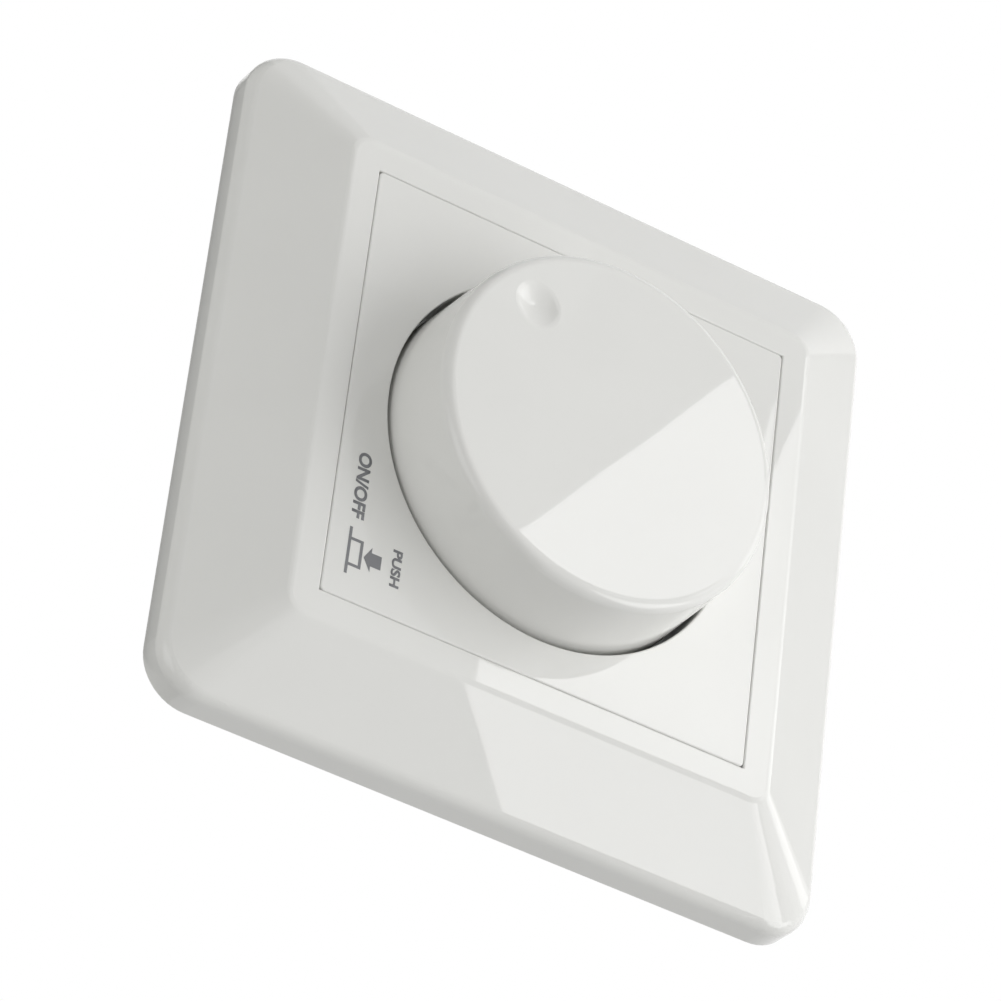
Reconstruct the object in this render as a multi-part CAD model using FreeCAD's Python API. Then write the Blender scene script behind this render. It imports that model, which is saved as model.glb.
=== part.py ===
import FreeCAD, Part

import math
import os

from FreeCAD import Vector

# Rotary dimmer switch for a flush wall box: a push-and-turn knob in a square centre plate,
# a cover frame round it, and the electrical insert behind the wall's surface.
# X is to the right, Y goes into the wall and Z is up, in millimetres.
# The origin is on the knob's axis in the plane of the wall, where the frame's rear rim lies.

os.makedirs("parts", exist_ok=True)

# Cover frame
frame_cover = 6.85
frame_height = 10.0
frame_lip = 3.8
frame_land = 3.5
frame_corner = 5.9
frame_land_corner = 2.3
frame_wall = 2.0
frame_shoulder_fillet = 1.9
frame_land_fillet = 1.5
frame_window_wall = 1.8
frame_rib = 1.2
frame_rib_offset = 14.0
frame_rib_gap = 0.5
ledge_thickness = 1.5
ledge_reach = 2.15

# Centre plate
plate_width = 55.2
plate_gap = 0.05
plate_thickness = 2.0
plate_corner = 0.6
plate_edge_fillet = 0.2
plate_skirt_wall = 1.7
plate_rib = 1.2
plate_rib_gap = 0.5
well_border = 5.0
well_wall = 1.4
well_floor = 2.0
well_gap = 0.4
well_rim_fillet = 0.2
bush_hole_clearance = 0.25

# Knob
knob_stand = 10.4
knob_draft_deg = 2.5
knob_rim_fillet = 1.3
knob_wall = 2.0
knob_top = 2.2
knob_skirt_clearance = 0.7
knob_boss_wall = 1.97
knob_boss_clearance = 0.4
knob_rib = 1.2
knob_rib_count = 6
knob_rib_height = 4.2
boss_slit = 0.8
boss_slit_depth = 3.0
dimple_inset = 6.15
dimple_width = 5.4
dimple_depth = 0.65
dimple_fillet = 1.4
rest_angle_deg = 224.2
clip_wire = 0.5
clip_width = 1.0
clip_gap_deg = 50.0
clip_fit = 0.02
clip_setback = 0.5

# Shaft and push movement
push_travel = 1.8
shaft_radius = 3.0
shaft_flat = 1.5
shaft_end_gap = 0.2
running_clearance = 0.05
drive_clearance = 0.03
flat_margin = 1.4
clip_groove_depth = 0.5
groove_shoulder = 0.2
shaft_chamfer = 0.3
clip_thickness = 0.6
clip_reach = 1.8
clip_mouth_share = 0.8
clip_notch_radius = 0.7
clip_notch_offset = 0.3

# Bush, nut and washer
bush_radius = 5.0
bush_flange_radius = 7.0
bush_flange = 1.2
bush_proud = 0.3
bush_chamfer = 0.4
bush_seat_gap = 0.15
nut_across_flats = 14.0
nut_height = 2.5
nut_lead_share = 0.96
washer_radius = 7.4
washer_thickness = 0.6
washer_notch_radius = 0.7
washer_notch_offset = 0.2
washer_notch_count = 10

# Support plate
support_border = 5.5
support_corner = 4.0
support_thickness = 1.5
box_screw_spacing = 60.0
box_screw_hole = 2.0
box_slot_length = 9.0

# Housing
housing_corner_cut = 6.56
housing_wall = 1.6
housing_side_space = 1.52
housing_rear_space = 3.8
post_radius = 2.7
post_length = 6.4
post_bite = 0.2
housing_screw_radius = 1.25
housing_screw_length = 5.5
housing_screw_end_gap = 1.0
screw_head_radius = 2.4
screw_clearance = 0.05
screw_sink = 0.1
countersunk_slot_depth = 0.4
pillar_radius = 2.0
pillar_inset = 4.2
pillar_gap = 1.4

# Potentiometer
can_radius = 8.5
can_wall = 0.5
can_length = 6.6
can_hole_gap = 0.4
shaft_hole_gap = 0.4
wafer_thickness = 1.2
wafer_ear_reach = 1.5
wafer_ear_width = 13.0
track_side_gap = 0.8
track_thickness = 0.3
track_span_deg = 300.0
rotor_side_gap = 1.0
rotor_thickness = 1.4
rotor_hub_inset = 1.3
hub_gap = 0.4
wiper_gap = 0.05
wiper_width = 1.6
wiper_thickness = 0.3
wiper_tip = 0.8
wiper_strip_gap = 0.1
rotor_hub_gap = 0.1
terminal_pitch = 5.0
terminal_inset = 0.8
rotor_gap = 0.55
pin_width = 0.8
pin_thickness = 0.5
pin_tail = 0.5

# Push switch
case_width = 12.0
case_wall = 0.8
case_length = 6.0
plunger_radius = 2.6
plunger_flange_radius = 3.8
plunger_flange = 0.9
plunger_gap = 0.1
shaft_end_inset = 0.5
bridge_length = 9.2
bridge_width = 1.8
bridge_thickness = 0.4
contact_tip = 1.2
spring_radius = 1.4
spring_wire = 0.17
spring_turns = 5

# Circuit board and the parts that stand on it
board_thickness = 1.6
board_margin = 0.8
board_shelf_gap = 0.2
part_gap = 2.0
choke_gap = 3.4
choke_outer = 6.5
choke_inner = 3.4
choke_height = 4.6
winding_wall = 0.35
winding_wire = 0.45
winding_turns = 16
triac_width = 10.0
triac_body_length = 9.0
triac_body_height = 4.5
triac_tab_length = 6.5
triac_tab_thickness = 1.3
triac_lead_pitch = 2.54
triac_lead_out = 2.0
triac_screw_radius = 1.5
triac_screw_head = 2.7
triac_screw_grip = 1.0
triac_side_gap = 1.4
triac_post_gap = 0.5
pad_thickness = 0.4
pad_margin = 0.5
pad_post_gap = 0.1
interference_width = 13.0
interference_thickness = 4.6
interference_height = 11.0
interference_gap = 0.4
interference_fillet = 0.5
timing_width = 7.0
timing_thickness = 3.5
timing_height = 7.0
timing_fillet = 0.4
fuse_length = 15.0
fuse_radius = 2.5
fuse_cap_length = 4.0
fuse_cap_wall = 0.15
fuse_cap_floor = 0.5
fuse_tube_wall = 0.6
fuse_lift = 0.6
fuse_side_gap = 0.42
fuse_gap = 0.82
fuse_offset = 1.0
clip_sheet = 0.4
clip_inset = 0.5
clip_foot = 2.4
clip_grip_share = 0.6
diac_length = 4.0
diac_radius = 0.95
diac_inset = 2.5
resistor_length = 3.6
resistor_radius = 1.15
resistor_pitch = 3.0
resistor_count = 3
resistor_gap = 0.8
resistor_shelf_gap = 0.5
lead_radius = 0.3
lead_reach = 1.0
axial_lift = 0.3

# Terminals
block_width = 37.6
block_height = 12.0
block_side_gap = 0.2
cell_pitch = 12.0
cell_count = 3
wire_entry_radius = 1.6
driver_hole_radius = 1.9
cage_width = 6.0
cage_length = 7.0
cage_height = 8.9
cage_floor_gap = 0.1
cage_wall = 0.9
cage_opening = 3.8
cage_clearance = 0.05
tail_width = 2.0
tail_thickness = 0.4
tail_length = 2.4
terminal_screw_radius = 1.45
terminal_head_radius = 1.7
terminal_head = 2.0
terminal_head_gap = 0.4
terminal_slot_depth = 0.8
screw_slot = 0.6

# An edge that lies within this of a wanted place is the one meant.
edge_reach = 0.1

# Depths along Y that the pieces share
face_y = -frame_height
support_front = -support_thickness
floor_front = support_front - well_floor
ledge_front = support_front - ledge_thickness
washer_front = floor_front - washer_thickness
nut_front = washer_front - nut_height
bush_front = nut_front - bush_proud
knob_front = face_y - knob_stand
knob_skirt_end = floor_front - push_travel - knob_skirt_clearance
knob_boss_end = bush_front - push_travel - knob_boss_clearance
knob_inner_top = knob_front + knob_top
shaft_front = knob_inner_top + shaft_end_gap
can_front = bush_flange
can_rear = can_front + can_length
wafer_rear = can_rear + wafer_thickness
track_front = can_rear - track_thickness
case_rear = wafer_rear + case_length
board_front = case_rear
board_rear = board_front + board_thickness
housing_inner_rear = board_rear + housing_rear_space
housing_depth = housing_inner_rear + housing_wall
pin_end = board_rear + pin_tail
ring_front = bush_flange + running_clearance
ring_rear = ring_front + clip_thickness
rotor_front = ring_rear + push_travel + rotor_gap
rotor_rear = rotor_front + rotor_thickness
case_inner_front = wafer_rear + case_wall
case_inner_rear = case_rear - case_wall
plunger_flange_front = case_inner_front + plunger_gap
plunger_rear = plunger_flange_front + plunger_flange
bridge_rear = plunger_rear + bridge_thickness
shaft_rear = wafer_rear - shaft_end_inset
plunger_front = shaft_rear + plunger_gap

# Distances from the axis that the pieces share
support_half = box_screw_spacing / 2 + support_border
frame_half = support_half + frame_cover
window_half = plate_width / 2 + plate_gap
land_half = window_half + frame_land
ledge_half = window_half - ledge_reach
slope = (frame_height - frame_lip) / (frame_half - land_half)
shoulder_y = -frame_lip
well_radius = plate_width / 2 - well_border
knob_radius = well_radius - well_gap
dimple_orbit = knob_radius - dimple_inset
bush_bore = shaft_radius + running_clearance
boss_bore = shaft_radius + drive_clearance
boss_radius = boss_bore + knob_boss_wall
can_inner = can_radius - can_wall
rotor_radius = can_inner - rotor_side_gap
track_outer = can_inner - track_side_gap
rotor_hub_radius = (shaft_radius + can_inner) / 2 - rotor_hub_inset
track_inner = rotor_hub_radius + hub_gap
wafer_ear = can_radius + wafer_ear_reach
choke_half = choke_outer + winding_wall + winding_wire
fuse_half = fuse_radius + fuse_cap_wall + drive_clearance + clip_sheet
resistor_half = resistor_length / 2 + lead_reach + lead_radius

# The housing is as wide inside as the longest of three rows needs: the choke past the can,
# the capacitor and the fuse past the wafer's ear, and the triac between the block and a post.
choke_row = (can_radius + choke_gap + choke_half) / math.sqrt(2) + choke_half + housing_side_space
fuse_row = wafer_ear + interference_gap + interference_thickness + fuse_gap + 2 * fuse_half + fuse_side_gap
post_inset = housing_corner_cut / 2 + (housing_wall + post_radius - post_bite) / math.sqrt(2)
triac_stack = triac_lead_out + triac_body_length + triac_tab_length + triac_post_gap + post_radius
resistor_stack = resistor_shelf_gap + 2 * resistor_half + resistor_gap
triac_row = (block_height + housing_wall + resistor_stack + triac_stack + post_inset) / 2 - housing_wall
inner_half = max(choke_row, fuse_row, triac_row)
housing_half = inner_half + housing_wall
choke_place = inner_half - housing_side_space - choke_half
housing_reach = (2 * housing_half - housing_corner_cut) / math.sqrt(2)
inner_reach = housing_reach - housing_wall
block_top = -housing_half + block_height
cage_rear = board_rear + tail_thickness
block_front = cage_rear - cage_height - cage_floor_gap
notch_half = block_width / 2 + block_side_gap
post_place = housing_half - post_inset
triac_x = inner_half - triac_side_gap - triac_width / 2
triac_tab_end = post_place - post_radius - triac_post_gap
triac_body_end = triac_tab_end - triac_tab_length
triac_hole_z = triac_tab_end - triac_tab_length / 2
triac_lead_z = triac_body_end - triac_body_length - triac_lead_out
terminal_z = wafer_ear - terminal_inset
interference_z = wafer_ear + interference_gap
interference_x = triac_x - triac_width / 2 - part_gap - interference_width
fuse_z = inner_half - fuse_side_gap - fuse_half
fuse_x = interference_x + fuse_offset
fuse_y = board_front - fuse_lift - clip_sheet - fuse_radius
resistor_z = triac_lead_z - resistor_gap - resistor_half
timing_x = -inner_half + part_gap
diac_x = timing_x + timing_width / 2
diac_z = -can_radius + diac_inset
cage_top = block_top - part_gap
wire_y = cage_rear - cage_wall - cage_opening / 2
rest_angle = math.radians(rest_angle_deg)


def box(x0, x1, y0, y1, z0, z1):
    """A block between two corners."""
    return Part.makeBox(x1 - x0, y1 - y0, z1 - z0, Vector(x0, y0, z0))


def rod(radius, y0, y1, x=0.0, z=0.0):
    """A round bar along Y."""
    return Part.makeCylinder(radius, y1 - y0, Vector(x, y0, z), Vector(0, 1, 0))


def ring(outer, inner, y0, y1, x=0.0, z=0.0):
    """A round tube along Y."""
    return rod(outer, y0, y1, x, z).cut(rod(inner, y0, y1, x, z))


def taper(radius0, radius1, y0, y1, x=0.0, z=0.0):
    """A cone along Y."""
    return Part.makeCone(radius0, radius1, y1 - y0, Vector(x, y0, z), Vector(0, 1, 0))


def rounded_square(half, radius, y):
    """The outline of a square with round corners, across Y."""
    edges = []
    straight = half - radius
    middle = straight + radius * math.sqrt(0.5)
    for quarter in range(4):
        turn = math.radians(90 * quarter)

        def place(u, w):
            return Vector(
                u * math.cos(turn) - w * math.sin(turn), y, u * math.sin(turn) + w * math.cos(turn)
            )

        edges.append(Part.LineSegment(place(half, -straight), place(half, straight)).toShape())
        corner = Part.Arc(place(half, straight), place(middle, middle), place(straight, half))
        edges.append(corner.toShape())
    return Part.Wire(edges)


def square_prism(half, radius, y0, y1):
    """A square bar with round corners along Y."""
    return Part.Face(rounded_square(half, radius, y0)).extrude(Vector(0, y1 - y0, 0))


def square_loft(half0, radius0, y0, half1, radius1, y1):
    """A square funnel: flat slopes, with corners that open from one radius to the other."""
    outlines = [rounded_square(half0, radius0, y0), rounded_square(half1, radius1, y1)]
    return Part.makeLoft(outlines, True, True)


def polygon_prism(points, y0, y1):
    """A bar along Y with the given outline in X and Z."""
    wire = Part.makePolygon([Vector(x, y0, z) for x, z in points + points[:1]])
    return Part.Face(wire).extrude(Vector(0, y1 - y0, 0))


def revolved(profile):
    """A turned shape from an outline of (radius, y) points."""
    wire = Part.makePolygon([Vector(r, y, 0) for r, y in profile + profile[:1]])
    return Part.Face(wire).revolve(Vector(0, 0, 0), Vector(0, 1, 0), 360)


def cut_corner_square(half, reach, y0, y1):
    """A square bar along Y whose corners are cut off square to the diagonals."""
    short = reach * math.sqrt(2) - half
    points = []
    for quarter in range(4):
        turn = math.radians(90 * quarter)
        for u, w in ((half, -short), (half, short)):
            points.append(
                (u * math.cos(turn) - w * math.sin(turn), u * math.sin(turn) + w * math.cos(turn))
            )
    return polygon_prism(points, y0, y1)


def turned_about_axis(shape, degrees):
    """A copy turned about the knob's axis, anticlockwise as seen from the front."""
    copy = shape.copy()
    copy.rotate(Vector(0, 0, 0), Vector(0, 1, 0), -degrees)
    return copy


def edges_at(shape, y, low, high):
    """The edges that lie across Y at this depth, between two distances from the axis."""
    chosen = []
    for edge in shape.Edges:
        bounds = edge.BoundBox
        if abs(bounds.YMin - y) > 1e-4 or abs(bounds.YMax - y) > 1e-4:
            continue
        middle = edge.valueAt((edge.FirstParameter + edge.LastParameter) / 2)
        if low < max(abs(middle.x), abs(middle.z)) < high:
            chosen.append(edge)
    return chosen


def d_bar(radius, flat, y0, y1):
    """A round bar with one flat, which faces the dimple's side of the knob."""
    bar = rod(radius, y0, y1).cut(box(flat, radius + 1, y0, y1, -radius - 1, radius + 1))
    return turned_about_axis(bar, rest_angle_deg)


def countersunk_screw(radius, head, y_end, x, z):
    """A countersunk screw that lies just below the support plate's front."""
    top = support_front + screw_sink
    cone = taper(head, radius, top, top + head - radius, x, z)
    slot_half = screw_slot / 2
    slot = box(x - head, x + head, top, top + countersunk_slot_depth, z - slot_half, z + slot_half)
    return cone.fuse(rod(radius, top, y_end, x, z)).cut(slot).removeSplitter()


def countersunk_hole(radius, head, x, z):
    """The hole in the support plate for such a screw."""
    wide = head + screw_clearance
    cone_end = support_front + screw_sink + wide - radius
    cone = taper(wide + screw_sink, radius + screw_clearance, support_front, cone_end, x, z)
    return cone.fuse(rod(radius + screw_clearance, support_front, 0, x, z))


def post_places():
    return [(sx * post_place, sz * post_place) for sx in (-1, 1) for sz in (-1, 1)]


def cell_places():
    return [cell_pitch * (k - (cell_count - 1) / 2) for k in range(cell_count)]


def make_cover_frame():
    body = square_prism(frame_half, frame_corner, shoulder_y, 0)
    body = body.fuse(
        square_loft(frame_half, frame_corner, shoulder_y, land_half, frame_land_corner, face_y)
    ).removeSplitter()
    body = body.makeFillet(frame_shoulder_fillet, edges_at(body, shoulder_y, land_half, frame_half + 1))
    body = body.makeFillet(frame_land_fillet, edges_at(body, face_y, 0, land_half + 1))
    # The hollow behind follows the slopes at an even wall.
    under_land = face_y + frame_wall
    drop = frame_wall * math.hypot(1, slope)
    lip_half = frame_half - frame_wall
    lip_y = shoulder_y - frame_wall * slope + drop
    top_half = land_half - (drop - frame_wall) / slope
    hollow = square_loft(
        lip_half, frame_corner - frame_wall, lip_y, top_half, frame_land_corner / 3, under_land
    )
    hollow = hollow.fuse(square_prism(lip_half, frame_corner - frame_wall, lip_y, 1))
    core_half = window_half + frame_window_wall
    hollow = hollow.cut(box(-core_half, core_half, face_y, support_front, -core_half, core_half))
    rib_rear = support_front - frame_rib_gap
    for quarter in range(4):
        for side in (-1, 1):
            middle = side * frame_rib_offset
            near, far = middle - frame_rib / 2, middle + frame_rib / 2
            rib = box(core_half - 1, frame_half, face_y, rib_rear, near, far)
            hollow = hollow.cut(turned_about_axis(rib, 90 * quarter))
    body = body.cut(hollow)
    body = body.cut(box(-window_half, window_half, face_y - 1, ledge_front, -window_half, window_half))
    body = body.cut(box(-ledge_half, ledge_half, ledge_front - 1, 1, -ledge_half, ledge_half))
    edge = edges_at(body, face_y, window_half - edge_reach, window_half + edge_reach)
    return body.makeFillet(plate_edge_fillet, edge)


def make_centre_plate():
    half = plate_width / 2
    body = square_prism(half, plate_corner, face_y, ledge_front)
    body = body.makeFillet(plate_edge_fillet, edges_at(body, face_y, 0, half + 1))
    inside = half - plate_skirt_wall
    outer_well = well_radius + well_wall
    hollow = square_prism(inside, plate_corner, face_y + plate_thickness, 1)
    hollow = hollow.cut(rod(outer_well, face_y, 2))
    for quarter in range(4):
        rib_rear = ledge_front - plate_rib_gap
        rib = box(outer_well - 1, half * 2, face_y, rib_rear, -plate_rib / 2, plate_rib / 2)
        hollow = hollow.cut(turned_about_axis(rib, 45 + 90 * quarter))
    body = body.cut(hollow)
    body = body.fuse(rod(outer_well, face_y + plate_thickness, support_front))
    body = body.cut(rod(well_radius, face_y - 1, floor_front))
    body = body.cut(rod(bush_radius + bush_hole_clearance, floor_front - 1, 1)).removeSplitter()
    inner_edges = edges_at(body, face_y, 0, well_radius + 1)
    rim = [e for e in inner_edges if abs(e.Length / math.tau - well_radius) < edge_reach]
    return body.makeFillet(well_rim_fillet, rim)


def make_knob():
    skirt_length = knob_skirt_end - knob_front
    lean = skirt_length * math.tan(math.radians(knob_draft_deg))
    body = taper(knob_radius - lean, knob_radius, knob_front, knob_skirt_end)
    body = body.makeFillet(knob_rim_fillet, edges_at(body, knob_front, 0, knob_radius + 1))
    inner = knob_radius - knob_wall
    hollow = taper(inner - lean, inner, knob_inner_top, knob_skirt_end)
    hollow = hollow.cut(rod(boss_radius, knob_inner_top, knob_boss_end))
    rib_end = knob_inner_top + knob_rib_height
    for k in range(knob_rib_count):
        rib = box(boss_radius - 1, knob_radius, knob_inner_top, rib_end, -knob_rib / 2, knob_rib / 2)
        hollow = hollow.cut(turned_about_axis(rib, 360 / knob_rib_count * k + rest_angle_deg + 30))
    body = body.cut(hollow)
    body = body.cut(d_bar(boss_bore, shaft_flat + drive_clearance, knob_inner_top, knob_boss_end + 1))
    slit_front = knob_boss_end - boss_slit_depth
    reach = boss_radius + 1
    slit = box(-reach, reach, slit_front, knob_boss_end + 1, -boss_slit / 2, boss_slit / 2)
    body = body.cut(turned_about_axis(slit, rest_angle_deg + 90))
    # The dimple is part of a ball, so wide and so deep, with a soft edge.
    ball = ((dimple_width / 2) ** 2 + dimple_depth ** 2) / (2 * dimple_depth)
    ball_y = knob_front + dimple_depth - ball
    place = Vector(dimple_orbit * math.cos(rest_angle), ball_y, dimple_orbit * math.sin(rest_angle))
    body = body.cut(Part.makeSphere(ball, place))
    face_edges = edges_at(body, knob_front, 0, knob_radius)
    rim = [e for e in face_edges if abs(e.Length / math.pi - dimple_width) < edge_reach]
    return body.makeFillet(dimple_fillet, rim)


def make_knob_clip():
    inner = boss_radius + clip_fit
    rear = knob_boss_end - clip_setback
    clip = ring(inner + clip_wire, inner, rear - clip_width, rear)
    half = inner * math.tan(math.radians(clip_gap_deg / 2))
    opening = box(0, boss_radius + 2, rear - clip_width, rear, -half, half)
    return clip.cut(turned_about_axis(opening, rest_angle_deg))


def make_shaft():
    groove_rear = ring_rear + running_clearance
    bar = rod(shaft_radius, shaft_front, shaft_rear)
    front_flat_end = knob_boss_end + flat_margin
    rear_flat_start = groove_rear + groove_shoulder
    flats = d_bar(shaft_radius + 1, shaft_flat, shaft_front, front_flat_end)
    flats = flats.fuse(rod(shaft_radius + 1, front_flat_end, rear_flat_start))
    flats = flats.fuse(d_bar(shaft_radius + 1, shaft_flat, rear_flat_start, shaft_rear))
    bar = bar.common(flats)
    groove = ring(shaft_radius + 1, shaft_radius - clip_groove_depth, bush_flange, groove_rear)
    bar = bar.cut(groove).removeSplitter()
    return bar.makeChamfer(shaft_chamfer, edges_at(bar, shaft_front, -1, shaft_radius + 1))


def make_shaft_clip():
    inner = shaft_radius - clip_groove_depth + running_clearance
    clip = ring(shaft_radius + clip_reach, inner, ring_front, ring_rear)
    half_mouth = inner * clip_mouth_share
    mouth = box(0, shaft_radius + clip_reach + 1, ring_front, ring_rear, -half_mouth, half_mouth)
    for side in (-1, 1):
        notch = rod(clip_notch_radius, ring_front, ring_rear, 0, side * (inner + clip_notch_offset))
        clip = clip.cut(notch)
    return clip.cut(mouth)


def make_fixing_nut():
    corner = nut_across_flats / math.sqrt(3)
    points = [
        (corner * math.cos(math.radians(60 * k)), corner * math.sin(math.radians(60 * k)))
        for k in range(6)
    ]
    body = polygon_prism(points, nut_front, washer_front)
    lead = nut_across_flats / 2 * nut_lead_share
    body = body.common(taper(lead, lead + nut_height * 2, nut_front, washer_front))
    return body.cut(rod(bush_radius + screw_clearance, nut_front, washer_front))


def make_lock_washer():
    inner = bush_radius + bush_hole_clearance
    washer = ring(washer_radius, inner, washer_front, floor_front)
    notch = rod(washer_notch_radius, washer_front, floor_front, washer_radius + washer_notch_offset, 0)
    for k in range(washer_notch_count):
        washer = washer.cut(turned_about_axis(notch, 360 / washer_notch_count * k))
    return washer


def make_support_plate():
    body = square_prism(support_half, support_corner, support_front, 0)
    body = body.cut(rod(bush_radius + bush_seat_gap, support_front, 0))
    for side in (-1, 1):
        place = side * box_screw_spacing / 2
        body = body.cut(rod(box_screw_hole, support_front, 0, place, 0))
        reach = box_slot_length / 2 - box_screw_hole
        slot = box(-reach, reach, support_front, 0, place - box_screw_hole, place + box_screw_hole)
        for end in (-reach, reach):
            slot = slot.fuse(rod(box_screw_hole, support_front, 0, end, place))
        body = body.cut(slot)
    for x, z in post_places():
        body = body.cut(countersunk_hole(housing_screw_radius, screw_head_radius, x, z))
    return body.cut(countersunk_hole(triac_screw_radius, triac_screw_head, triac_x, triac_hole_z))


def make_housing():
    body = cut_corner_square(housing_half, housing_reach, 0, housing_depth)
    hollow = cut_corner_square(inner_half, inner_reach, -1, housing_inner_rear)
    shelf = box(-housing_half, housing_half, block_front - housing_wall, housing_depth,
                -housing_half, block_top + housing_wall)
    hollow = hollow.cut(shelf)
    for x, z in post_places():
        hollow = hollow.cut(rod(post_radius, -1, post_length, x, z))
    for x, z in pillar_places():
        hollow = hollow.cut(rod(pillar_radius, board_rear, housing_depth, x, z))
    body = body.cut(hollow)
    notch = box(-notch_half, notch_half, block_front, housing_depth + 1, -housing_half - 1, block_top)
    body = body.cut(notch)
    hole = housing_screw_radius + screw_clearance
    for x, z in post_places():
        body = body.cut(rod(hole, 0, housing_screw_length, x, z))
    slot_half = tail_width / 2 + cage_clearance
    for x in cell_places():
        body = body.cut(box(x - slot_half, x + slot_half, board_rear, cage_rear + cage_clearance,
                            block_top - 1, block_top + housing_wall + 1))
    return body.removeSplitter()


def pillar_places():
    """Four pillars on the housing's rear wall that carry the circuit board."""
    high = inner_half - 2 * pillar_inset
    low = block_top + housing_wall + pillar_radius + pillar_gap
    wide = inner_half - pillar_inset
    return [(-wide, high), (wide, high), (-wide, low), (wide, low)]


def make_housing_screws():
    end = housing_screw_length - housing_screw_end_gap
    return Part.makeCompound(
        [countersunk_screw(housing_screw_radius, screw_head_radius, end, x, z) for x, z in post_places()]
    )


def make_circuit_board():
    half = inner_half - board_margin
    board = cut_corner_square(half, inner_reach - board_margin, board_front, board_rear)
    board = board.cut(box(-half - 1, half + 1, board_front, board_rear,
                          -half - 1, block_top + housing_wall + board_shelf_gap))
    for hole in board_holes():
        board = board.cut(hole)
    return board


def board_holes():
    """Holes for the legs of the potentiometer, the switch and the triac."""
    wide = pin_width / 2 + screw_clearance
    thin = pin_thickness / 2 + screw_clearance
    holes = []
    for k in (-1, 0, 1):
        for x, z in ((k * terminal_pitch, terminal_z), (triac_x + k * triac_lead_pitch, triac_lead_z)):
            holes.append(box(x - wide, x + wide, board_front, board_rear, z - thin, z + thin))
    for x in contact_places():
        holes.append(box(x - thin, x + thin, board_front, board_rear, -wide, wide))
    return holes


def make_pot_bush():
    profile = [
        (bush_bore, bush_front), (bush_radius - bush_chamfer, bush_front),
        (bush_radius, bush_front + bush_chamfer),
        (bush_radius, 0), (bush_flange_radius, 0), (bush_flange_radius, bush_flange),
        (bush_bore, bush_flange),
    ]
    return revolved(profile)


def make_pot_can():
    body = rod(can_radius, can_front, can_rear)
    body = body.makeFillet(can_wall, edges_at(body, can_front, 0, can_radius + 1))
    body = body.cut(rod(can_radius - can_wall, can_front + can_wall, can_rear))
    return body.cut(rod(shaft_radius + clip_reach + can_hole_gap, can_front - 1, can_rear))


def make_pot_wafer():
    body = rod(can_radius, can_rear, wafer_rear)
    half = wafer_ear_width / 2
    body = body.fuse(box(-half, half, can_rear, wafer_rear, 0, wafer_ear))
    body = body.cut(rod(shaft_radius + shaft_hole_gap, can_rear, wafer_rear))
    wide = pin_width / 2 + screw_clearance
    thin = pin_thickness / 2 + screw_clearance
    for k in (-1, 0, 1):
        x = k * terminal_pitch
        body = body.cut(box(x - wide, x + wide, can_rear, wafer_rear, terminal_z - thin, terminal_z + thin))
    return body.removeSplitter()


def make_resistive_track():
    band = ring(track_outer, track_inner, track_front, can_rear)
    half_gap = math.radians((360 - track_span_deg) / 2)
    far = track_outer * 2
    gap = polygon_prism([(0, 0), (-far * math.sin(half_gap), -far * math.cos(half_gap)),
                         (far * math.sin(half_gap), -far * math.cos(half_gap))], track_front, can_rear)
    return band.cut(gap)


def make_pot_terminals():
    legs = []
    for k in (-1, 0, 1):
        x = k * terminal_pitch
        leg = box(x - pin_width / 2, x + pin_width / 2, can_rear, pin_end,
                  terminal_z - pin_thickness / 2, terminal_z + pin_thickness / 2)
        legs.append(leg)
    return Part.makeCompound(legs)


def make_wiper_rotor():
    body = rod(rotor_radius, rotor_front, rotor_rear)
    body = body.fuse(rod(rotor_hub_radius, rotor_front, track_front - rotor_hub_gap))
    return body.cut(d_bar(shaft_radius + running_clearance, shaft_flat + running_clearance,
                          rotor_front - 1, can_rear)).removeSplitter()


def make_wiper_contact():
    middle = (track_inner + track_outer) / 2
    tip = track_front - wiper_gap
    inner = rotor_hub_radius + wiper_strip_gap
    outer = middle + wiper_tip
    strip = box(inner, outer, rotor_rear, rotor_rear + wiper_thickness, -wiper_width / 2, wiper_width / 2)
    finger = box(middle, outer, rotor_rear, tip, -wiper_width / 2, wiper_width / 2)
    return turned_about_axis(strip.fuse(finger).removeSplitter(), rest_angle_deg)


def contact_places():
    place = bridge_length / 2 - contact_tip / 2
    return (-place, place)


def make_switch_case():
    half = case_width / 2
    body = box(-half, half, wafer_rear, case_rear, -half, half)
    inside = half - case_wall
    body = body.cut(box(-inside, inside, case_inner_front, case_inner_rear, -inside, inside))
    body = body.cut(rod(shaft_radius + shaft_hole_gap, wafer_rear, case_inner_front))
    wide = pin_width / 2 + screw_clearance
    thin = pin_thickness / 2 + screw_clearance
    for x in contact_places():
        body = body.cut(box(x - thin, x + thin, case_inner_rear, case_rear, -wide, wide))
    return body


def make_switch_plunger():
    return revolved([
        (0, plunger_front), (plunger_radius, plunger_front), (plunger_radius, plunger_flange_front),
        (plunger_flange_radius, plunger_flange_front), (plunger_flange_radius, plunger_rear),
        (0, plunger_rear),
    ])


def make_contact_bridge():
    return box(-bridge_length / 2, bridge_length / 2, plunger_rear, bridge_rear,
               -bridge_width / 2, bridge_width / 2)


def make_fixed_contacts():
    solids = []
    tip_front = bridge_rear + push_travel + running_clearance
    for x in contact_places():
        tip = box(x - contact_tip / 2, x + contact_tip / 2, tip_front, case_inner_rear,
                  -bridge_width / 2, bridge_width / 2)
        leg = box(x - pin_thickness / 2, x + pin_thickness / 2, case_inner_rear, pin_end,
                  -pin_width / 2, pin_width / 2)
        solids.append(tip.fuse(leg).removeSplitter())
    return Part.makeCompound(solids)


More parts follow.
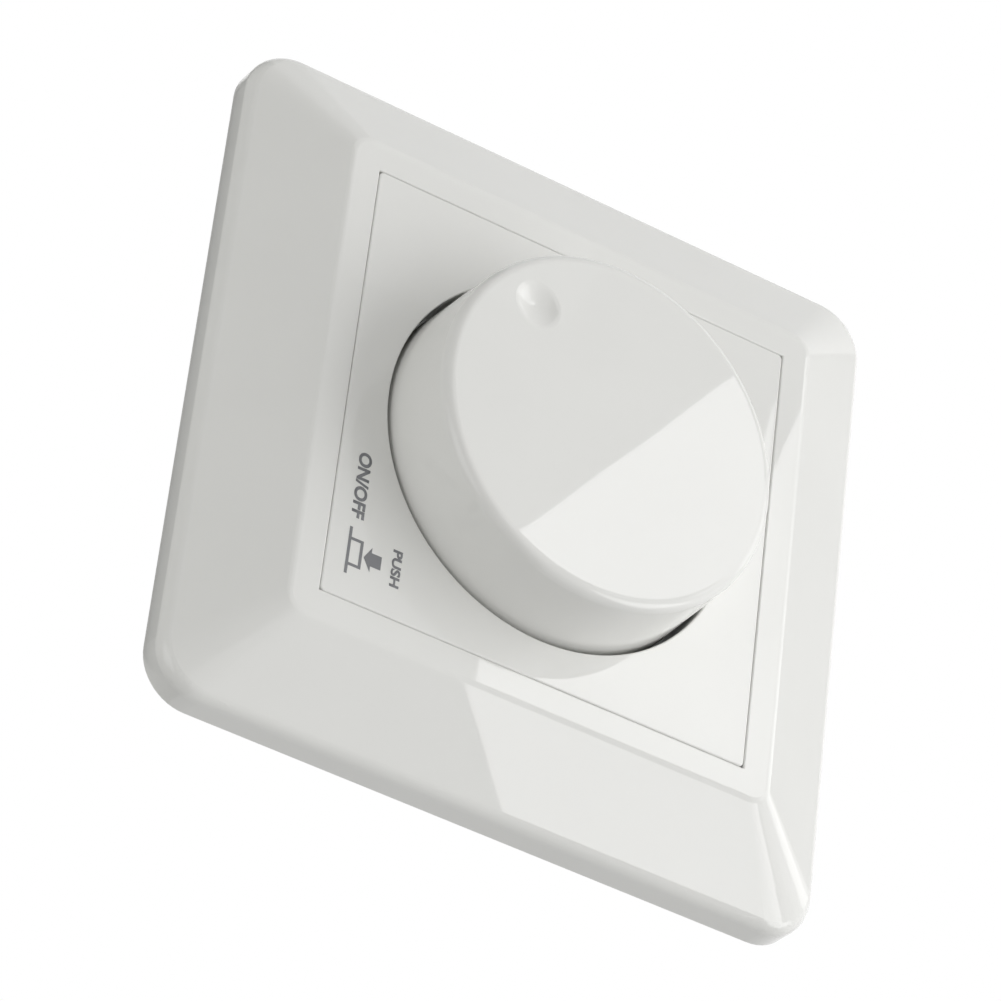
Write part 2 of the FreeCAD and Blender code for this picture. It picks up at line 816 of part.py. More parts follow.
def make_return_spring():
    length = case_inner_rear - bridge_rear - 2 * spring_wire
    start = bridge_rear + spring_wire
    helix = Part.makeHelix(length / spring_turns, length, spring_radius)
    section = Part.Wire(Part.makeCircle(spring_wire, Vector(spring_radius, 0, 0), Vector(0, 1, 0)))
    coil = Part.Wire(helix).makePipeShell([section], True, True)
    coil.rotate(Vector(0, 0, 0), Vector(1, 0, 0), -90)
    coil.translate(Vector(0, start, 0))
    return coil


def make_choke_core():
    front = board_front - winding_wall - winding_wire - choke_height
    return ring(choke_outer, choke_inner, front, front + choke_height, -choke_place, choke_place)


def make_choke_winding():
    front = board_front - winding_wall - winding_wire - choke_height
    rear = front + choke_height
    bore = choke_inner - winding_wall
    sleeve = ring(choke_outer + winding_wall, bore, front - winding_wall, rear + winding_wall)
    grown = winding_wall + winding_wire
    turn = box(choke_inner - grown, choke_outer + grown, front - grown, rear + grown,
               -winding_wire, winding_wire)
    for k in range(winding_turns):
        sleeve = sleeve.fuse(turned_about_axis(turn, 360 / winding_turns * (k + 0.5)))
    sleeve = sleeve.cut(ring(choke_outer, choke_inner, front, rear)).removeSplitter()
    sleeve.translate(Vector(-choke_place, 0, choke_place))
    return sleeve


def make_triac():
    half = triac_width / 2
    seat = pad_thickness
    left, right = triac_x - half, triac_x + half
    tab = box(left, right, seat, seat + triac_tab_thickness, triac_body_end, triac_tab_end)
    hole = triac_screw_radius + screw_clearance
    tab = tab.cut(rod(hole, seat, seat + triac_tab_thickness, triac_x, triac_hole_z))
    low = triac_body_end - triac_body_length
    body = box(left, right, seat, seat + triac_body_height, low, triac_body_end)
    shape = tab.fuse(body)
    lead_y = seat + triac_body_height / 2
    thin = pin_thickness / 2
    bend = triac_lead_z - thin
    for k in (-1, 0, 1):
        lead = triac_x + k * triac_lead_pitch - pin_width / 2
        shape = shape.fuse(box(lead, lead + pin_width, lead_y - thin, lead_y + thin, bend, low))
        shape = shape.fuse(box(lead, lead + pin_width, lead_y - thin, pin_end, bend, triac_lead_z + thin))
    return shape.removeSplitter()


def make_insulating_pad():
    half = triac_width / 2 + pad_margin
    low = triac_body_end - triac_body_length - pad_margin
    pad = box(triac_x - half, triac_x + half, 0, pad_thickness, low, triac_tab_end + pad_margin)
    pad = pad.cut(rod(post_radius + pad_post_gap, 0, pad_thickness, post_place, post_place))
    return pad.cut(rod(triac_screw_radius + screw_clearance, 0, pad_thickness, triac_x, triac_hole_z))


def make_triac_screw():
    end = pad_thickness + triac_tab_thickness + triac_screw_grip
    return countersunk_screw(triac_screw_radius, triac_screw_head, end, triac_x, triac_hole_z)


def standing_box(x, z, width, thickness, height, fillet):
    """A moulded component that stands on the circuit board."""
    body = box(x, x + width, board_front - height, board_front, z, z + thickness)
    top = [e for e in body.Edges if e.BoundBox.YMax < board_front - height / 2]
    upright = [e for e in body.Edges if e.BoundBox.YLength > height / 2]
    return body.makeFillet(fillet, top + upright)


def make_interference_capacitor():
    return standing_box(interference_x, interference_z, interference_width, interference_thickness,
                        interference_height, interference_fillet)


def make_timing_capacitor():
    return standing_box(timing_x, -timing_thickness / 2, timing_width, timing_thickness,
                        timing_height, timing_fillet)


def fuse_bar(radius, start, end):
    """A round bar on the fuse's own axis."""
    return Part.makeCylinder(radius, end - start, Vector(start, fuse_y, fuse_z), Vector(1, 0, 0))


def make_fuse_tube():
    start = fuse_x + fuse_cap_floor
    end = fuse_x + fuse_length - fuse_cap_floor
    return fuse_bar(fuse_radius, start, end).cut(fuse_bar(fuse_radius - fuse_tube_wall, start, end))


def make_fuse_caps():
    outer = fuse_radius + fuse_cap_wall
    end = fuse_x + fuse_length
    left = fuse_bar(outer, fuse_x, fuse_x + fuse_cap_length)
    left = left.cut(fuse_bar(fuse_radius, fuse_x + fuse_cap_floor, fuse_x + fuse_cap_length))
    right = fuse_bar(outer, end - fuse_cap_length, end)
    right = right.cut(fuse_bar(fuse_radius, end - fuse_cap_length, end - fuse_cap_floor))
    return Part.makeCompound([left, right])


def make_fuse_clips():
    clips = []
    inner = fuse_radius + fuse_cap_wall + drive_clearance
    outer = inner + clip_sheet
    width = fuse_cap_length - 2 * clip_inset
    for start in (fuse_x + clip_inset, fuse_x + fuse_length - fuse_cap_length + clip_inset):
        end = start + width
        foot = box(start, end, fuse_y, board_front, fuse_z - clip_foot / 2, fuse_z + clip_foot / 2)
        grip = inner * clip_grip_share
        mouth = box(start, end, fuse_y - outer, fuse_y - grip, fuse_z - outer, fuse_z + outer)
        clips.append(fuse_bar(outer, start, end).fuse(foot).cut(fuse_bar(inner, start, end)).cut(mouth))
    return Part.makeCompound(clips)


def axial_part(x, y, z, radius, length, direction):
    """A small round component with a bent lead at each end that reaches the board."""
    start = Vector(x, y, z) - direction * (length / 2)
    body = Part.makeCylinder(radius, length, start, direction)
    reach = length / 2 + lead_reach
    for sign in (-1, 1):
        end = Vector(x, y, z) + direction * (sign * reach)
        body = body.fuse(Part.makeCylinder(lead_radius, reach, Vector(x, y, z), direction * sign))
        body = body.fuse(Part.makeCylinder(lead_radius, board_front - y, end, Vector(0, 1, 0)))
        body = body.fuse(Part.makeSphere(lead_radius, end))
    return body.removeSplitter()


def make_diac():
    y = board_front - diac_radius - axial_lift
    return axial_part(diac_x, y, diac_z, diac_radius, diac_length, Vector(1, 0, 0))


def make_resistors():
    solids = []
    y = board_front - resistor_radius - axial_lift
    for k in range(resistor_count):
        x = triac_x + resistor_pitch * (k - (resistor_count - 1) / 2)
        solids.append(axial_part(x, y, resistor_z, resistor_radius, resistor_length, Vector(0, 0, 1)))
    return Part.makeCompound(solids)


def make_terminal_block():
    half = block_width / 2
    block = box(-half, half, block_front, housing_depth, -housing_half, block_top)
    block = block.common(cut_corner_square(housing_half, housing_reach, 0, housing_depth))
    pocket = cage_width / 2 + cage_clearance
    tail = tail_width / 2 + cage_clearance
    cage_bottom = cage_top - cage_length
    for x in cell_places():
        block = block.cut(box(x - pocket, x + pocket, block_front, cage_rear + cage_clearance,
                              cage_bottom - cage_clearance, cage_top + cage_clearance))
        entry = Part.makeCylinder(
            wire_entry_radius, cage_bottom + housing_half, Vector(x, wire_y, -housing_half), Vector(0, 0, 1)
        )
        block = block.cut(entry)
        block = block.cut(rod(driver_hole_radius, cage_rear, housing_depth, x, cage_top - cage_length / 2))
        tail_rear = cage_rear + cage_clearance
        block = block.cut(box(x - tail, x + tail, board_rear, tail_rear, cage_top, block_top))
    return block


def make_terminal_cages():
    cages = []
    half = cage_width / 2
    low = cage_top - cage_length
    opening = cage_opening / 2
    hole = terminal_screw_radius + screw_clearance
    for x in cell_places():
        cage = box(x - half, x + half, cage_rear - cage_height, cage_rear, low, cage_top)
        cage = cage.cut(box(x - opening, x + opening, wire_y - opening, wire_y + opening, low, cage_top))
        cage = cage.cut(rod(hole, wire_y, cage_rear, x, low + cage_length / 2))
        tail = box(x - tail_width / 2, x + tail_width / 2, board_rear, cage_rear,
                   cage_top, block_top + housing_wall + tail_length)
        cages.append(cage.fuse(tail).removeSplitter())
    return Part.makeCompound(cages)


def make_terminal_screws():
    screws = []
    z = cage_top - cage_length / 2
    head_front = cage_rear + terminal_head_gap
    head_rear = head_front + terminal_head
    tip = wire_y + running_clearance
    for x in cell_places():
        screw = rod(terminal_screw_radius, tip, head_front, x, z)
        screw = screw.fuse(rod(terminal_head_radius, head_front, head_rear, x, z))
        slot = box(x - terminal_head_radius, x + terminal_head_radius, head_rear - terminal_slot_depth,
                   head_rear, z - screw_slot / 2, z + screw_slot / 2)
        screws.append(screw.cut(slot).removeSplitter())
    return Part.makeCompound(screws)


nodes = {
    "cover_frame": make_cover_frame,
    "centre_plate": make_centre_plate,
    "knob": make_knob,
    "knob_clip": make_knob_clip,
    "shaft": make_shaft,
    "shaft_clip": make_shaft_clip,
    "fixing_nut": make_fixing_nut,
    "lock_washer": make_lock_washer,
    "support_plate": make_support_plate,
    "housing": make_housing,
    "housing_screws": make_housing_screws,
    "circuit_board": make_circuit_board,
    "pot_bush": make_pot_bush,
    "pot_can": make_pot_can,
    "pot_wafer": make_pot_wafer,
    "resistive_track": make_resistive_track,
    "pot_terminals": make_pot_terminals,
    "wiper_rotor": make_wiper_rotor,
    "wiper_contact": make_wiper_contact,
    "switch_case": make_switch_case,
    "switch_plunger": make_switch_plunger,
    "contact_bridge": make_contact_bridge,
    "fixed_contacts": make_fixed_contacts,
    "return_spring": make_return_spring,
    "choke_core": make_choke_core,
    "choke_winding": make_choke_winding,
    "triac": make_triac,
    "insulating_pad": make_insulating_pad,
    "triac_screw": make_triac_screw,
    "interference_capacitor": make_interference_capacitor,
    "timing_capacitor": make_timing_capacitor,
    "diac": make_diac,
    "resistors": make_resistors,
    "fuse_tube": make_fuse_tube,
    "fuse_caps": make_fuse_caps,
    "fuse_clips": make_fuse_clips,
    "terminal_block": make_terminal_block,
    "terminal_cages": make_terminal_cages,
    "terminal_screws": make_terminal_screws,
}

for name, make in nodes.items():
    shape = make()
    shape.exportStep(f"parts/{name}.step")
    print(name, len(shape.Solids), "solids", round(shape.Volume, 1), "mm3", shape.isValid())
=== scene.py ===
import math

import bmesh
import bpy
from mathutils import Euler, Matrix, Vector


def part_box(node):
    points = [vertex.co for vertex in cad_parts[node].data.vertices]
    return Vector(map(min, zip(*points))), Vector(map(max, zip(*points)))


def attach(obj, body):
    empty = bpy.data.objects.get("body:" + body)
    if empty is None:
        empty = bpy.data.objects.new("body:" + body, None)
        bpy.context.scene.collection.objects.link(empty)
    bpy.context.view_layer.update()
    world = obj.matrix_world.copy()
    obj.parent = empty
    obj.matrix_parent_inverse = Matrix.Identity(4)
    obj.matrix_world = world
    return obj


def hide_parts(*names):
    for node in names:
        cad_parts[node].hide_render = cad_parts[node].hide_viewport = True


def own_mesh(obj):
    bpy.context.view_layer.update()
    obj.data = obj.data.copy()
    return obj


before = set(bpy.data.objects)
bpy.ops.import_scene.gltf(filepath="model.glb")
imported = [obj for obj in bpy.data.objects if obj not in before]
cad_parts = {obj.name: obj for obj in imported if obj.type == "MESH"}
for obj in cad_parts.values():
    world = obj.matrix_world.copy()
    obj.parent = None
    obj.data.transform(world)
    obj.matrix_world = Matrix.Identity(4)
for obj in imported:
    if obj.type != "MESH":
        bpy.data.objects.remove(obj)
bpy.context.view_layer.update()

# Rotary dimmer switch: finish, printed marks, light and camera.
# X is to the right, Y goes into the wall and Z is up, in metres.

MM = 0.001

# Camera: a long lens from below and to the right of the front, turned by about a quarter.
# The turn is in degrees, and the lens and its sensor are in millimetres.
camera_place = (335.44 * MM, -465.43 * MM, -258.85 * MM)
camera_turn = (-138.258, -56.736, -101.103)
camera_lens = 200.77
camera_sensor = 36.0

# Softbox over and in front of the object's top edge, leaning back by its tilt in degrees.
softbox_foot = (-55 * MM, -762 * MM, 400 * MM)
softbox_tilt = 43.8
softbox_glow = 2.42

# Seams where the softbox's fields meet, and its left corner, in millimetres in its own plane.
# The corner's notches stand for the slight curve of the moulded plate and frame.
left_seam = ((-350, 6), (-350, 130), (-340, 150))
upper_seam = (
    (-340, 150), (-110, 215), (-60, 290), (-200, 400), (-235, 518), (-135, 618), (-195, 880),
)
right_seam = ((275, -33), (270, 50), (200, 240), (175, 303), (175, 640), (700, 640))
left_corner = (
    (-498, 150), (-498, 104), (-507, 100), (-507, 94), (-484, 87.5), (-484, 86.3), (-507, 86),
    (-507, 85.5), (-490, 83), (-484, 80), (-484, 77), (-500, 76), (-508, 63),
)

# Each field has its shine in the gloss, its share of the glow on the surfaces, and its outline.
# The gloss mirrors the softbox's lower edge and its two bright sides, with a dimmer middle
# between them. A dark flag stands beside its top.
softbox_fields = {
    "softbox_left": (3.95, 1.0, ((-453, 2), (-425, 8), *left_seam, *left_corner)),
    "softbox_upper_left": (2.8, 1.0, (*upper_seam, (-498, 880), (-498, 150))),
    "softbox_right": (
        3.95, 1.0, (right_seam[0], (431, -33), (700, 304), *reversed(right_seam[1:])),
    ),
    "softbox_middle": (
        1.3, 1.0,
        (
            left_seam[0], *right_seam, (700, 850), (450, 1100), (-450, 1100), (-498, 880),
            *reversed(upper_seam), left_seam[1],
        ),
    ),
    "softbox_flag": (
        0.5, 0.0, ((-481, 960), (-450, 1100), (-450, 1300), (-950, 1300), (-950, 960)),
    ),
}

# Dark strip just behind the lowest edge: it gives the lower lip its dark rim. No camera sees it.
strip_half = 60 * MM
strip_top = -42.6 * MM
strip_drop = 1.6 * MM
strip_depth = 0.3 * MM

# Fill lamps: place, width and height in metres, and power in watts.
fills = {
    "left_fill": ((-0.95, -0.60, 0.10), 0.8, 0.8, 0.50),
    "low_fill": ((0.12, -0.22, -0.46), 0.34, 0.34, 0.47),
}

# Even light of the white surroundings on the surfaces.
ambient_strength = 0.43

# Pale floor, far enough down for a view from below. The camera sees part of it as plain white.
floor_drop = 0.76
floor_half = 15.0
floor_white_share = 0.7

# Printed marks, in millimetres in X and Z on the centre plate's front.
# Words are given with their left, right, low and high edges. The weight makes them bold.
print_lift = 0.012 * MM
print_height = 0.01 * MM
switch_words = ("ON/OFF", 8.90, 17.28, -25.20, -23.56)
push_words = ("PUSH", 19.12, 23.78, -19.47, -18.25)
word_weight = 0.035
# Middle lines of the sign's strokes: left end, right end and height.
line_width = 0.36
base_line = (18.55, 24.45, -24.92)
button_outline = (19.98, 23.18, -23.35)
arrow = (
    (21.66, -22.96), (20.08, -22.04), (20.76, -22.04), (20.76, -20.75),
    (22.44, -20.75), (22.44, -22.04), (23.18, -22.04),
)

# Most of a noise texture's values lie between these two.
noise_low = 0.3
noise_high = 0.7
# Length of the slow colour drift in millimetres, and how far the roughness strays from its value.
colour_drift = 18.0
plastic_spread = 0.15
metal_spread = 0.2


def linear(code):
    """Linear colour of an sRGB hex value."""
    channels = [int(code[i:i + 2], 16) / 255 for i in (1, 3, 5)]
    return tuple(
        c / 12.92 if c <= 0.04045 else ((c + 0.055) / 1.055) ** 2.4 for c in channels
    ) + (1.0,)


def add(tree, kind, inputs=None, **settings):
    """A node with its settings, and its inputs as values or as another node's output."""
    made = tree.nodes.new(kind)
    for name, value in settings.items():
        setattr(made, name, value)
    for name, value in (inputs or {}).items():
        if isinstance(value, bpy.types.NodeSocket):
            tree.links.new(value, made.inputs[name])
        else:
            made.inputs[name].default_value = value
    return made


def new_material(name):
    """An empty material and its node tree, with its output."""
    material = bpy.data.materials.new(name)
    material.use_nodes = True
    tree = material.node_tree
    tree.nodes.clear()
    return material, tree, tree.nodes.new("ShaderNodeOutputMaterial")


def plastic(name, colour, shade, roughness, grain_mm, grain_height_mm, wave_mm, wave_height_mm):
    """Moulded plastic: a slow colour drift, fine grain and the slow waves of a moulded skin."""
    material, tree, out = new_material(name)
    place = add(tree, "ShaderNodeTexCoord").outputs["Object"]
    drift = add(
        tree, "ShaderNodeTexNoise",
        {"Vector": place, "Scale": 1 / (colour_drift * MM), "Detail": 3.0},
    )
    grain = add(
        tree, "ShaderNodeTexNoise",
        {"Vector": place, "Scale": 1 / (grain_mm * MM), "Detail": 2.0},
    )
    wave = add(
        tree, "ShaderNodeTexNoise",
        {"Vector": place, "Scale": 1 / (wave_mm * MM), "Detail": 0.0},
    )
    spread = add(
        tree, "ShaderNodeMapRange",
        {"Value": drift.outputs["Fac"], "From Min": noise_low, "From Max": noise_high},
    )
    tone = add(
        tree, "ShaderNodeMix",
        {"Factor": spread.outputs["Result"], "A": linear(colour), "B": linear(shade)},
        data_type="RGBA",
    )
    dull = add(
        tree, "ShaderNodeMapRange",
        {
            "Value": grain.outputs["Fac"], "From Min": noise_low, "From Max": noise_high,
            "To Min": roughness * (1 - plastic_spread), "To Max": roughness * (1 + plastic_spread),
        },
    )
    skin = add(
        tree, "ShaderNodeBump",
        {"Height": grain.outputs["Fac"], "Distance": grain_height_mm * MM},
    )
    swell = add(
        tree, "ShaderNodeBump",
        {
            "Height": wave.outputs["Fac"], "Distance": wave_height_mm * MM,
            "Normal": skin.outputs["Normal"],
        },
    )
    surface = add(
        tree, "ShaderNodeBsdfPrincipled",
        {
            "Base Color": tone.outputs["Result"],
            "Roughness": dull.outputs["Result"],
            "IOR": 1.5,
            "Normal": swell.outputs["Normal"],
        },
    )
    tree.links.new(surface.outputs["BSDF"], out.inputs["Surface"])
    return material


def metal(name, colour, shade, roughness, grain_mm, grain_height_mm, stretch=(1.0, 1.0, 1.0)):
    """Bare or plated metal: brushed or mottled by noise that may be drawn out one way."""
    material, tree, out = new_material(name)
    place = add(tree, "ShaderNodeTexCoord").outputs["Object"]
    drawn = add(tree, "ShaderNodeMapping", {"Vector": place, "Scale": stretch})
    grain = add(
        tree, "ShaderNodeTexNoise",
        {
            "Vector": drawn.outputs["Vector"], "Scale": 1 / (grain_mm * MM),
            "Detail": 4.0, "Roughness": 0.6,
        },
    )
    tone = add(
        tree, "ShaderNodeMix",
        {"Factor": grain.outputs["Fac"], "A": linear(colour), "B": linear(shade)},
        data_type="RGBA",
    )
    dull = add(
        tree, "ShaderNodeMapRange",
        {
            "Value": grain.outputs["Fac"], "From Min": noise_low, "From Max": noise_high,
            "To Min": roughness * (1 - metal_spread), "To Max": roughness * (1 + metal_spread),
        },
    )
    skin = add(
        tree, "ShaderNodeBump",
        {"Height": grain.outputs["Fac"], "Distance": grain_height_mm * MM},
    )
    surface = add(
        tree, "ShaderNodeBsdfPrincipled",
        {
            "Base Color": tone.outputs["Result"],
            "Metallic": 1.0,
            "Roughness": dull.outputs["Result"],
            "Normal": skin.outputs["Normal"],
        },
    )
    tree.links.new(surface.outputs["BSDF"], out.inputs["Surface"])
    return material


def glass(name, colour):
    """Drawn glass tube, clear and faintly green."""
    material, tree, out = new_material(name)
    surface = add(
        tree, "ShaderNodeBsdfPrincipled",
        {"Base Color": linear(colour), "Roughness": 0.02, "IOR": 1.5, "Transmission Weight": 1.0},
    )
    tree.links.new(surface.outputs["BSDF"], out.inputs["Surface"])
    return material


# Injection-moulded ABS, polished tool: warm white, glossy, with soft waves in what it mirrors.
gloss_abs = plastic("gloss_abs_moulded", "#E9E9E6", "#E7E7E4", 0.014, 0.5, 0.0001, 14.0, 0.006)
# Pad-printed ink: mid grey, thin and slightly matt.
printed_ink = plastic("pad_printed_ink", "#7C7D80", "#818285", 0.45, 0.3, 0.001, 6.0, 0.002)
# Glass-filled polyamide, moulded in a spark-eroded tool: dull mid grey.
housing_polyamide = plastic("polyamide_moulded", "#8E9194", "#878A8D", 0.55, 0.35, 0.012, 9.0, 0.01)
# Polycarbonate terminal block: light grey, satin.
block_polycarbonate = plastic(
    "polycarbonate_moulded", "#C9CAC6", "#C2C3BF", 0.38, 0.4, 0.004, 9.0, 0.01
)
# Acetal, natural white, for the small moving pieces and the switch's case.
acetal = plastic("acetal_moulded", "#E4E1D6", "#DCD9CE", 0.35, 0.4, 0.003, 5.0, 0.004)
# Paper laminate, punched: ochre and dull.
paper_laminate = plastic("paper_laminate_punched", "#B38A4A", "#A57E42", 0.55, 0.25, 0.006, 8.0, 0.01)
# Phenolic laminate: dark brown.
phenolic = plastic("phenolic_laminate_punched", "#6B4326", "#60391F", 0.45, 0.25, 0.005, 6.0, 0.006)
# Screen-printed carbon: black, dull.
carbon = plastic("carbon_ink_printed", "#1B1B1C", "#222223", 0.6, 0.2, 0.004, 3.0, 0.002)
# Moulded epoxy: black, fine texture.
epoxy = plastic("epoxy_moulded", "#1E1F21", "#26272A", 0.42, 0.2, 0.004, 4.0, 0.003)
# Silicone sheet: grey and soft.
silicone = plastic("silicone_sheet", "#8C9298", "#848A90", 0.7, 0.3, 0.004, 5.0, 0.004)
# Capacitor case: yellow polyester, satin.
capacitor_polyester = plastic(
    "polyester_case_moulded", "#C7A12C", "#BE9826", 0.35, 0.3, 0.003, 5.0, 0.004
)
# Lacquer over a film resistor: sand colour.
resistor_lacquer = plastic("resistor_lacquer_dipped", "#C3A878", "#B99E6E", 0.35, 0.3, 0.004, 3.0, 0.01)
# Glass bead of a small diode: orange brown.
diode_bead = plastic("diode_glass_bead", "#9A4A22", "#8C421E", 0.12, 0.3, 0.001, 2.0, 0.002)
# Epoxy-coated iron powder core: yellow, slightly rough.
core_coat = plastic("iron_powder_core_coated", "#D1BF45", "#C6B43C", 0.45, 0.4, 0.01, 4.0, 0.01)
# Pressed steel with passivated zinc: light, with faint rolling lines.
zinc_steel = metal(
    "zinc_plated_steel_pressed", "#C9CDD0", "#AEB3B8", 0.34, 0.9, 0.003, (1.0, 1.0, 0.12)
)
# Nickel plate over turned or pressed steel: bright and slightly warm.
nickel_steel = metal("nickel_plated_steel", "#D6D2C8", "#C4C0B5", 0.22, 0.6, 0.002)
# Turned brass: fine rings from the tool.
turned_brass = metal("brass_turned", "#D2AE62", "#BC9850", 0.25, 0.4, 0.002, (1.0, 6.0, 1.0))
# Tinned brass: pale and soft in its shine.
tinned_brass = metal("tinned_brass_pressed", "#D0CEC6", "#BFBDB4", 0.3, 0.5, 0.002)
# Hard-drawn spring steel: grey and bright.
spring_steel = metal("spring_steel_drawn", "#B3B4B6", "#9C9DA0", 0.28, 0.4, 0.002)
# Enamelled copper wire: red brown with a clear skin.
enamelled_copper = metal("enamelled_copper_wire", "#B9603A", "#A65230", 0.3, 0.5, 0.002)
# Drawn glass of the fuse's tube.
fuse_glass = glass("glass_tube_drawn", "#F2F8F6")

finishes = {
    "cover_frame": gloss_abs, "centre_plate": gloss_abs, "knob": gloss_abs,
    "knob_clip": spring_steel, "shaft": turned_brass, "shaft_clip": spring_steel,
    "fixing_nut": nickel_steel, "lock_washer": nickel_steel, "support_plate": zinc_steel,
    "housing": housing_polyamide, "housing_screws": nickel_steel, "circuit_board": paper_laminate,
    "pot_bush": turned_brass, "pot_can": nickel_steel, "pot_wafer": phenolic,
    "resistive_track": carbon, "pot_terminals": tinned_brass, "wiper_rotor": acetal,
    "wiper_contact": spring_steel, "switch_case": acetal, "switch_plunger": acetal,
    "contact_bridge": tinned_brass, "fixed_contacts": tinned_brass, "return_spring": spring_steel,
    "choke_core": core_coat, "choke_winding": enamelled_copper, "triac": epoxy,
    "insulating_pad": silicone, "triac_screw": nickel_steel,
    "interference_capacitor": capacitor_polyester, "timing_capacitor": epoxy,
    "diac": diode_bead, "resistors": resistor_lacquer, "fuse_tube": fuse_glass,
    "fuse_caps": tinned_brass, "fuse_clips": tinned_brass, "terminal_block": block_polycarbonate,
    "terminal_cages": nickel_steel, "terminal_screws": nickel_steel,
}


def add_object(name, data):
    """A new object in the scene."""
    made = bpy.data.objects.new(name, data)
    bpy.context.collection.objects.link(made)
    return made


def dress(piece, material):
    """Gives a piece its one material."""
    piece.data.materials.clear()
    piece.data.materials.append(material)


def finish_nodes():
    """Each node of the frame gets its material."""
    for name, material in finishes.items():
        dress(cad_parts[name], material)


def mesh_piece(name, bm, material):
    """A new mesh object from bmesh data."""
    mesh = bpy.data.meshes.new(name)
    bm.to_mesh(mesh)
    bm.free()
    mesh.materials.append(material)
    return add_object(name, mesh)


def print_rear():
    """Depth of the print's rear face, just off the centre plate's front."""
    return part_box("centre_plate")[0].y - print_lift


def flat_shape(bm, outline):
    """A thin raised shape on the plate, from an outline in X and Z."""
    rear = print_rear()
    face = bm.faces.new([bm.verts.new((x * MM, rear, z * MM)) for x, z in outline])
    extruded = bmesh.ops.extrude_face_region(bm, geom=[face])
    moved = [v for v in extruded["geom"] if isinstance(v, bmesh.types.BMVert)]
    bmesh.ops.translate(bm, vec=(0, -print_height, 0), verts=moved)


def make_symbol():
    """The press-to-switch sign: a raised button in outline on a base line, and an arrow at it."""
    bm = bmesh.new()
    half = line_width / 2
    left, right, base = base_line
    ground = base + half
    flat_shape(bm, [(left, base - half), (right, base - half), (right, ground), (left, ground)])
    left, right, top = button_outline
    flat_shape(
        bm,
        [
            (left - half, ground), (left + half, ground), (left + half, top - half),
            (right - half, top - half), (right - half, ground), (right + half, ground),
            (right + half, top + half), (left - half, top + half),
        ],
    )
    flat_shape(bm, arrow)
    bmesh.ops.recalc_face_normals(bm, faces=bm.faces)
    piece = mesh_piece("push_symbol_print", bm, printed_ink)
    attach(piece, "insert")


def make_words(name, words, left, right, low, high):
    """Bold words printed between two X places and two Z places."""
    curve = bpy.data.curves.new(name, "FONT")
    curve.body = words
    curve.size = 1.0
    curve.offset = word_weight
    text = add_object(name, curve)
    bpy.context.view_layer.update()
    mesh = bpy.data.meshes.new_from_object(text)
    bpy.data.objects.remove(text)
    xs = [v.co.x for v in mesh.vertices]
    ys = [v.co.y for v in mesh.vertices]
    wide = (right - left) * MM / (max(xs) - min(xs))
    tall = (high - low) * MM / (max(ys) - min(ys))
    rear = print_rear()
    x0 = min(xs)
    y0 = min(ys)
    for v in mesh.vertices:
        v.co = (left * MM + (v.co.x - x0) * wide, rear, low * MM + (v.co.y - y0) * tall)
    piece = add_object(name, mesh)
    dress(piece, printed_ink)
    thick = piece.modifiers.new("print_thickness", "SOLIDIFY")
    thick.thickness = print_height
    thick.offset = 1.0
    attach(piece, "insert")


def make_return_spring():
    """The return spring, which shortens as the knob is pushed in: here a copy with a mesh of its own,
    carried by the insert.
    """
    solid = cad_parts["return_spring"]
    piece = add_object("return_spring_coil", solid.data.copy())
    dress(piece, spring_steel)
    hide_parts("return_spring")
    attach(piece, "insert")
    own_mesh(piece)


def hide_from_camera(tree, out, shader):
    """The shader for every ray but the camera's, which passes through."""
    path = add(tree, "ShaderNodeLightPath")
    clear = add(tree, "ShaderNodeBsdfTransparent")
    mix = add(
        tree, "ShaderNodeMixShader",
        {0: path.outputs["Is Camera Ray"], 1: shader, 2: clear.outputs["BSDF"]},
    )
    tree.links.new(mix.outputs["Shader"], out.inputs["Surface"])


def make_softbox_field(name, shine, glow_share, outline):
    """One field of the large softbox, with its own shine in the gloss."""
    bm = bmesh.new()
    bm.faces.new([bm.verts.new((x * MM, 0, z * MM)) for x, z in outline])
    material, tree, out = new_material(name + "_cloth")
    path = add(tree, "ShaderNodeLightPath")
    strength = add(
        tree, "ShaderNodeMapRange",
        {
            "Value": path.outputs["Is Glossy Ray"],
            "To Min": softbox_glow * glow_share, "To Max": shine,
        },
    )
    glow = add(
        tree, "ShaderNodeEmission",
        {"Strength": strength.outputs["Result"], "Color": linear("#FFFFFF")},
    )
    hide_from_camera(tree, out, glow.outputs["Emission"])
    field = mesh_piece(name, bm, material)
    field.location = softbox_foot
    field.rotation_euler = (-math.radians(softbox_tilt), 0, 0)


def make_shade_strip():
    """A dark strip behind the lower edge, clear to the camera."""
    bm = bmesh.new()
    outline = [
        (-strip_half, strip_top - strip_drop), (strip_half, strip_top - strip_drop),
        (strip_half, strip_top), (-strip_half, strip_top),
    ]
    bm.faces.new([bm.verts.new((x, strip_depth, z)) for x, z in outline])
    material, tree, out = new_material("shade_strip_felt")
    felt = add(tree, "ShaderNodeBsdfDiffuse", {"Color": linear("#2E3138")})
    hide_from_camera(tree, out, felt.outputs["BSDF"])
    mesh_piece("shade_strip", bm, material)


def soft_lamp(name, place, width, height, power):
    """A plain soft lamp that faces the object."""
    data = bpy.data.lights.new(name, "AREA")
    data.shape = "RECTANGLE"
    data.size = width
    data.size_y = height
    data.energy = power
    lamp = add_object(name, data)
    lamp.location = place
    lamp.rotation_euler = (-Vector(place)).to_track_quat("-Z", "Y").to_euler()


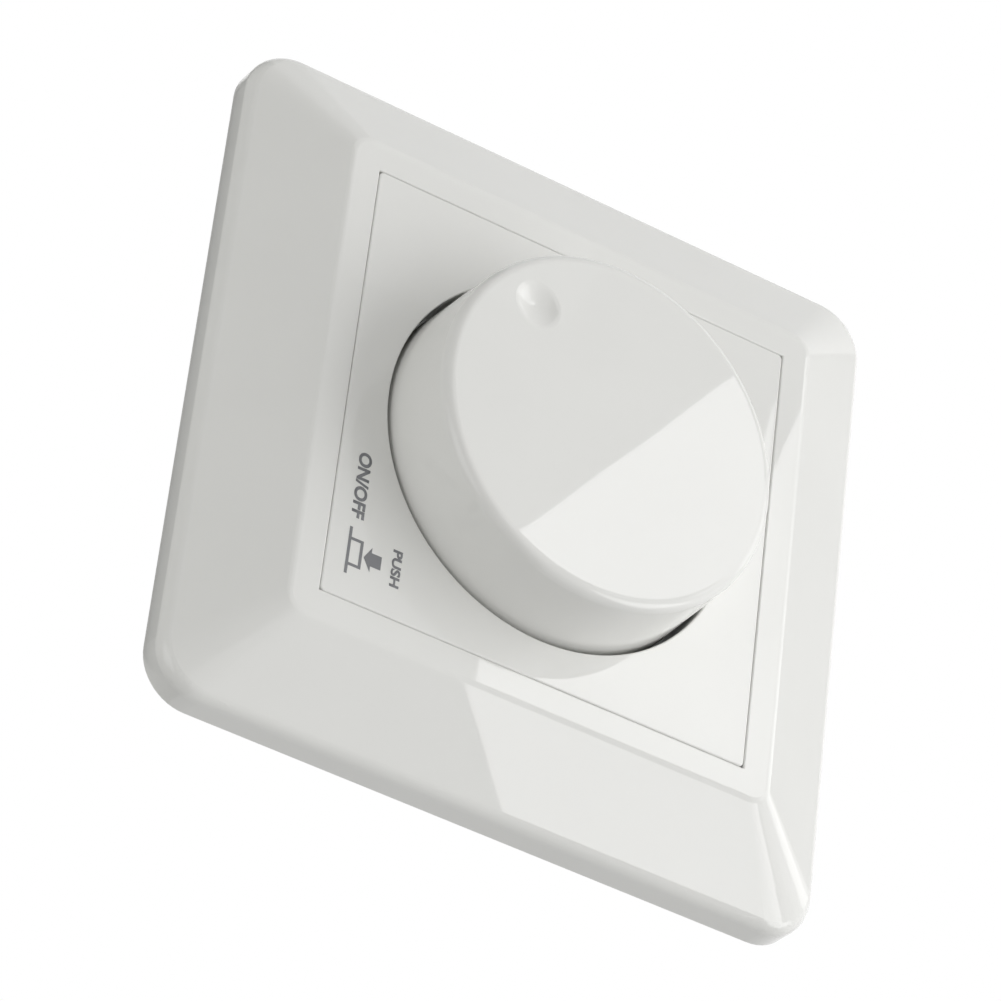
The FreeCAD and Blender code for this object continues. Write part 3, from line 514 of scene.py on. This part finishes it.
def make_world():
    """White to the eye, in reflections and through glass; a weaker even light on the surfaces."""
    world = bpy.data.worlds.new("studio")
    bpy.context.scene.world = world
    world.use_nodes = True
    tree = world.node_tree
    tree.nodes.clear()
    out = tree.nodes.new("ShaderNodeOutputWorld")
    path = add(tree, "ShaderNodeLightPath")
    seen = add(
        tree, "ShaderNodeMath",
        {0: path.outputs["Is Camera Ray"], 1: path.outputs["Is Glossy Ray"]},
        operation="ADD",
    )
    seen = add(
        tree, "ShaderNodeMath",
        {0: seen.outputs[0], 1: path.outputs["Is Transmission Ray"]},
        operation="ADD", use_clamp=True,
    )
    strength = add(
        tree, "ShaderNodeMapRange",
        {"Value": seen.outputs[0], "To Min": ambient_strength, "To Max": 1.0},
    )
    light = add(
        tree, "ShaderNodeBackground",
        {"Color": linear("#FFFFFF"), "Strength": strength.outputs["Result"]},
    )
    tree.links.new(light.outputs["Background"], out.inputs["Surface"])


def make_floor():
    """A pale floor, which the camera sees almost white."""
    bm = bmesh.new()
    bmesh.ops.create_grid(bm, x_segments=2, y_segments=2, size=floor_half)
    material, tree, out = new_material("pale_floor_painted")
    surface = add(tree, "ShaderNodeBsdfDiffuse", {"Color": linear("#EEEEEC")})
    white = add(tree, "ShaderNodeEmission", {"Color": linear("#FFFFFF"), "Strength": 1.0})
    path = add(tree, "ShaderNodeLightPath")
    share = add(
        tree, "ShaderNodeMapRange",
        {"Value": path.outputs["Is Camera Ray"], "To Max": floor_white_share},
    )
    mix = add(
        tree, "ShaderNodeMixShader",
        {0: share.outputs["Result"], 1: surface.outputs["BSDF"], 2: white.outputs["Emission"]},
    )
    tree.links.new(mix.outputs["Shader"], out.inputs["Surface"])
    floor = mesh_piece("floor", bm, material)
    floor.location = (0, 0, -floor_drop)


def make_camera():
    """The camera at the photograph's angle."""
    data = bpy.data.cameras.new("camera")
    data.lens = camera_lens
    data.sensor_width = camera_sensor
    camera = add_object("camera", data)
    camera.location = camera_place
    camera.rotation_euler = Euler([math.radians(a) for a in camera_turn], "XYZ")
    bpy.context.scene.camera = camera


make_camera()
make_world()
make_floor()
make_shade_strip()
for field_name, field in softbox_fields.items():
    make_softbox_field(field_name, *field)
for fill_name, fill in fills.items():
    soft_lamp(fill_name, *fill)
finish_nodes()
make_return_spring()
make_symbol()
make_words("switch_words_print", *switch_words)
make_words("push_words_print", *push_words)

bpy.context.scene.view_settings.view_transform = "Standard"
